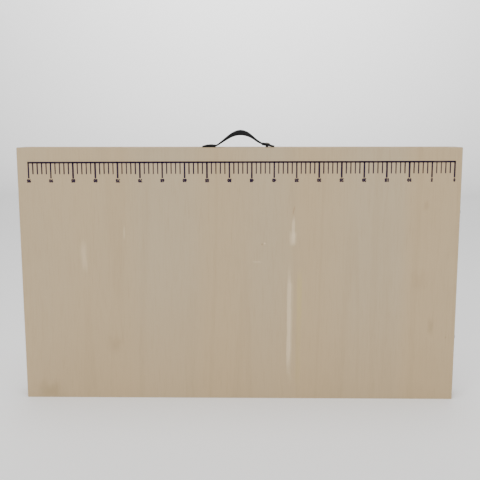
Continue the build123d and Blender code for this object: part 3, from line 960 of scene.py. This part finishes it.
def smooth_stations(stations, steps):
    """More stations between the given ones, on a smooth curve through them all."""
    found = []
    count = len(stations)
    for index in range(count - 1):
        before = Vector(stations[max(index - 1, 0)])
        start = Vector(stations[index])
        end = Vector(stations[index + 1])
        after = Vector(stations[min(index + 2, count - 1)])
        lean_in = (end - before) / 2
        lean_out = (after - start) / 2
        for step in range(steps):
            t = step / steps
            point = start * (2 * t**3 - 3 * t**2 + 1) + lean_in * (t**3 - 2 * t**2 + t)
            point += end * (3 * t**2 - 2 * t**3) + lean_out * (t**3 - t**2)
            found.append(point)
    return found + [Vector(stations[-1])]


def handle_place(handle):
    """Where the handle stands: the middle of the top of the front rail."""
    low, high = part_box("front_upper_rail")
    return Vector((handle.offset, (low.y + high.y) / 2, high.z))


class TABLE_OT_strap(bpy.types.Operator):
    """Mould the carrying strap, thin at its ends and thick at its grip"""

    bl_idname = "pasting_table.strap"
    bl_label = "Carrying strap"

    def execute(self, context):
        handle = context.scene.table_handle
        middle = handle_place(handle)
        stations = smooth_stations(STRAP_STATIONS, 3)
        first = stations[0] * MM
        nothing_selected()
        spot = middle + Vector((first.x, 0, (first.y + first.z) / 2))
        bpy.ops.mesh.primitive_plane_add(size=1.0, location=spot, rotation=(0, radians(90), 0))
        strap = settled("carry_strap")
        mode("EDIT")
        pick_all()
        tall = 2.2 * handle.rounding
        bpy.ops.transform.resize(value=(1, handle.strap_width, tall), center_override=spot)
        bpy.ops.mesh.bevel(offset=handle.rounding, segments=4, affect="VERTICES")
        thick = first.y - first.z
        bpy.ops.transform.resize(value=(1, 1, thick / tall), center_override=spot)
        pick_all()
        for station in stations[1:]:
            here = station * MM
            following = middle + Vector((here.x, 0, (here.y + here.z) / 2))
            bpy.ops.mesh.extrude_region_move(TRANSFORM_OT_translate={"value": following - spot})
            spot = following
            bpy.ops.transform.resize(value=(1, 1, (here.y - here.z) / thick), center_override=spot)
            thick = here.y - here.z
        leave_closed()
        smoothed(strap, 45)
        low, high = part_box("handle_strap")
        black = context.scene.table_colours.black
        finish_piece(strap, moulded("Strap plastic", black, low, high, 0.42, 1500.0))
        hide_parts("handle_strap")
        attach(strap, "front_section")
        return {"FINISHED"}


def screw_boss(end, way, tilt, handle):
    """The round boss that stands on the rail about the screw of a tilted cap."""
    nothing_selected()
    tall = handle.cap_height
    spot = end + Vector((way * handle.screw_inset, 0, handle.screw_inset * tan(tilt)))
    bpy.ops.mesh.primitive_cylinder_add(
        vertices=40, radius=handle.boss_radius, depth=tall, location=spot
    )
    boss = settled("screw_boss")
    boss.data.transform(about(spot, Matrix.Rotation(tilt, 4, "Y")))
    mode("EDIT")
    pick_all()
    bpy.ops.mesh.bisect(plane_co=end, plane_no=(0, 0, 1), use_fill=True, clear_inner=True)
    leave_closed()
    return boss


def mould_cap(name, end, way, tilt, brow_share, handle):
    """One end cap: a block that falls to its outer end, rounded, and tilted about that end."""
    outer = end - Vector((handle.cap_shift, 0, 0))
    long = handle.cap_length + max(0, way) * handle.cap_shift
    half = handle.cap_width / 2
    cap = cube(
        name,
        outer + Vector((min(0, way * long), -half, 0)),
        outer + Vector((max(0, way * long), half, handle.cap_height)),
    )
    top = outer.z + handle.cap_height
    brow = outer + Vector((way * brow_share * handle.cap_length, 0, 0))

    def at_outer_end(p):
        return abs(p.x - outer.x) < TOUCH

    def at_brow(p):
        return abs(p.x - brow.x) < TOUCH

    mode("EDIT")
    pick_all()
    bpy.ops.mesh.bisect(plane_co=brow, plane_no=(1, 0, 0))
    pick_edges(cap, lambda a, b: min(a.z, b.z) > top - TOUCH and at_outer_end(a) and at_outer_end(b))
    bpy.ops.transform.translate(value=(0, 0, handle.cap_nose - handle.cap_height))
    pick_edges(cap, lambda a, b: abs(a.x - b.x) + abs(a.y - b.y) < TOUCH and not at_brow(a))
    bpy.ops.mesh.bevel(offset=handle.cap_corner, segments=6)
    pick_edges(cap, lambda a, b: min(a.z, b.z) > outer.z + TOUCH and not (at_brow(a) and at_brow(b)))
    bpy.ops.mesh.bevel(offset=handle.cap_height / 5, segments=4)
    leave_closed()
    cap.data.transform(about(outer, Matrix.Rotation(tilt, 4, "Y")))
    if tilt:
        cap = joined(name, [cap, screw_boss(end, way, tilt, handle)])
    smoothed(cap, 35)
    return cap


class TABLE_OT_caps(bpy.types.Operator):
    """Mould the two end caps that hold the strap down to the rail"""

    bl_idname = "pasting_table.caps"
    bl_label = "Handle caps"

    def execute(self, context):
        handle = context.scene.table_handle
        black = context.scene.table_colours.black
        sides = (("left", 1, 0.0, 0.4), ("right", -1, handle.right_tilt, 0.7))
        for side, way, tilt, brow_share in sides:
            end = handle_place(handle) + Vector((-way * handle.span / 2, 0, 0))
            cap = mould_cap(f"{side}_strap_cap", end, way, tilt, brow_share, handle)
            node = f"handle_{side}_cap"
            low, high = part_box(node)
            finish_piece(cap, moulded(f"{side} cap plastic", black, low, high, 0.38, 1300.0))
            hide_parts(node)
            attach(cap, "front_section")
        return {"FINISHED"}


def mark(name, x, y, top, end, width, ink):
    """One printed mark on the front board, with its corners taken off."""
    piece = cube(name, (x - width / 2, y - ink, end), (x + width / 2, y, top))
    round_corners(piece, width * 0.22)
    return piece


def number(text, x, y, top, sizes):
    """A printed number that reads from the board's near edge, so it stands on its head here."""
    nothing_selected()
    bpy.ops.object.text_add()
    made = bpy.context.active_object
    made.data.body = text
    made.data.resolution_u = 4
    made.data.bevel_depth = sizes.spread
    bpy.ops.object.convert(target="MESH")
    made = bpy.context.active_object
    low = Vector([min(v.co[i] for v in made.data.vertices) for i in range(3)])
    high = Vector([max(v.co[i] for v in made.data.vertices) for i in range(3)])
    size = high - low
    middle = Matrix.Translation(-(low + high) / 2)
    wide = sizes.digit_width * len(text) / size.x
    scaled = Matrix.Diagonal((wide, sizes.number_height / size.y, sizes.ink / size.z, 1.0))
    upended = Matrix.Rotation(pi, 4, "Y") @ Matrix.Rotation(pi / 2, 4, "X")
    place = Matrix.Translation((x, y - sizes.ink / 2, top - sizes.number_height / 2))
    made.data.transform(place @ upended @ scaled @ middle)
    only(made)
    mode("EDIT")
    leave_closed(0.002 * MM)
    return made


class TABLE_OT_scales(bpy.types.Operator):
    """Print the centimetre scale along the upper edge of both boards"""

    bl_idname = "pasting_table.scales"
    bl_label = "Printed scales"

    def execute(self, context):
        sizes = context.scene.table_print
        colours = context.scene.table_colours
        low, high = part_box("front_table_top")
        face, edge = low.y, high.z
        zero = high.x - sizes.zero_inset
        unsteady = random.Random(7)

        line_top = edge - sizes.line_drop + sizes.line_width / 2
        ends = (edge - sizes.short_end, edge - sizes.long_end)
        short = mark("short", 0, face, line_top, ends[0], sizes.short_width, sizes.ink)
        numbered = mark("numbered", 0, face, line_top, ends[1], sizes.long_width, sizes.ink)
        strong, thin = [], []
        for index in range(sizes.marks):
            x = zero - index * sizes.pitch
            is_numbered = index % sizes.numbered == 0
            copy = copy_of(numbered if is_numbered else short, f"mark_{index:02d}")
            wider, longer = unsteady.uniform(0.86, 1.1), unsteady.uniform(0.985, 1.01)
            stretch = about(Vector((0, 0, line_top)), Matrix.Diagonal((wider, 1.0, longer, 1.0)))
            copy.data.transform(Matrix.Translation((x, 0, 0)) @ stretch)
            (strong if is_numbered else thin).append(copy)
            if is_numbered:
                strong.append(number(str(index), x, face, edge - sizes.number_drop, sizes))
        for spare in (short, numbered):
            bpy.data.objects.remove(spare)
        last = zero - (sizes.marks - 1) * sizes.pitch
        half = sizes.long_width / 2
        line = cube(
            "scale_line",
            (last - half, face - sizes.ink, line_top - sizes.line_width),
            (zero + half, face, line_top),
        )
        round_corners(line, 0.4 * MM)
        strong.append(line)

        full_ink = printed("Full ink", colours.ink_dark, colours.ply_pale, 0.9)
        thin_ink = printed("Thin ink", colours.ink_thin, colours.ply_pale, 0.88)
        pivot = Vector(((low.x + high.x) / 2, face, line_top))
        groups = (("numbered_marks", strong, full_ink), ("short_marks", thin, thin_ink))
        for name, pieces, ink in groups:
            front = joined(f"front_scale_{name}", pieces)
            front.data.transform(about(pivot, Matrix.Rotation(-sizes.skew, 4, "Y")))
            finish_piece(front, ink)
            rear = copy_of(front, f"rear_scale_{name}")
            rear.data.transform(Matrix.Rotation(pi, 4, "Z"))
            for piece, body in ((front, "front_section"), (rear, "rear_section")):
                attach(piece, body)
        return {"FINISHED"}


class TABLE_PT_panel(bpy.types.Panel):
    """The table's pieces and its studio, in the order they are made"""

    bl_idname = "TABLE_PT_panel"
    bl_label = "Pasting table"
    bl_space_type = "VIEW_3D"
    bl_region_type = "UI"
    bl_category = "Pasting table"

    def draw(self, context):
        for operator in OPERATORS:
            self.layout.operator(operator.bl_idname)
        for owner in ("table_print", "table_handle", "table_colours", "table_stage"):
            box = self.layout.box()
            group = getattr(context.scene, owner)
            for name in group.bl_rna.properties.keys():
                if name not in ("rna_type", "name"):
                    box.prop(group, name)


OPERATORS = (
    TABLE_OT_stage,
    TABLE_OT_faces,
    TABLE_OT_rails,
    TABLE_OT_leg_frames,
    TABLE_OT_steel,
    TABLE_OT_screws,
    TABLE_OT_glides,
    TABLE_OT_strap,
    TABLE_OT_caps,
    TABLE_OT_scales,
)
GROUPS = {
    "table_print": TablePrintSizes,
    "table_handle": TableHandleSizes,
    "table_colours": TableColours,
    "table_stage": TableStage,
}


def register():
    for group in GROUPS.values():
        bpy.utils.register_class(group)
    for name, group in GROUPS.items():
        setattr(bpy.types.Scene, name, bpy.props.PointerProperty(type=group))
    for made in (*OPERATORS, TABLE_PT_panel):
        bpy.utils.register_class(made)


def unregister():
    for made in reversed((*OPERATORS, TABLE_PT_panel)):
        bpy.utils.unregister_class(made)
    for name in GROUPS:
        delattr(bpy.types.Scene, name)
    for group in reversed(GROUPS.values()):
        bpy.utils.unregister_class(group)


def main():
    register()
    bpy.ops.pasting_table.stage()
    bpy.ops.pasting_table.faces()
    bpy.ops.pasting_table.rails()
    bpy.ops.pasting_table.leg_frames()
    bpy.ops.pasting_table.steel()
    bpy.ops.pasting_table.screws()
    bpy.ops.pasting_table.glides()
    bpy.ops.pasting_table.strap()
    bpy.ops.pasting_table.caps()
    bpy.ops.pasting_table.scales()
    nothing_selected()


if __name__ == "__main__":
    main()
